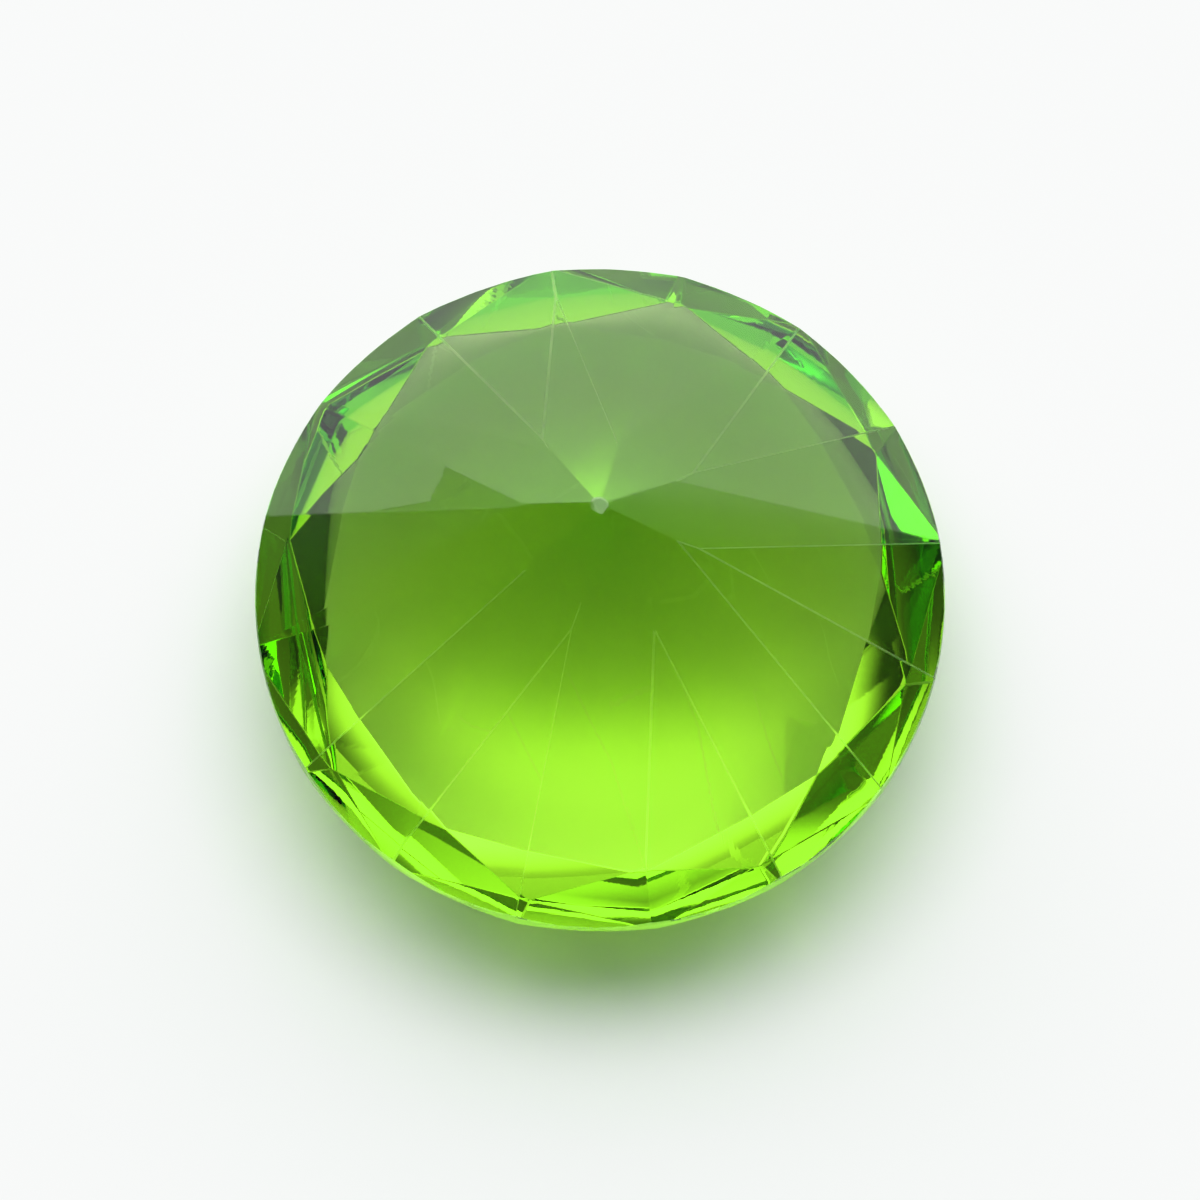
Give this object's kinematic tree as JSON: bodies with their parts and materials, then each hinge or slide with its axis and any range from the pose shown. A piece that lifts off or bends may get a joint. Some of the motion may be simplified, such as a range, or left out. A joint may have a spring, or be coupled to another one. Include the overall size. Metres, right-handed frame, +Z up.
{
  "type": "faceted chrome diopside gemstone",
  "caption": "Round brilliant cut green chrome diopside, lying table down with its culet up: flat facets above and below a thin ground girdle.",
  "frame": {"origin": "centre of the table facet, which lies on the surface", "axes": "+Z up through the girdle to the culet; X and Y lie in the table"},
  "size_m": [0.0024, 0.0024, 0.0015],
  "materials": {
    "gemstone": "clear green crystal with polished flat facets and a finely ground girdle"
  },
  "bodies": {
    "root": {"gemstone": "gemstone"}
  },
  "joints": []
}
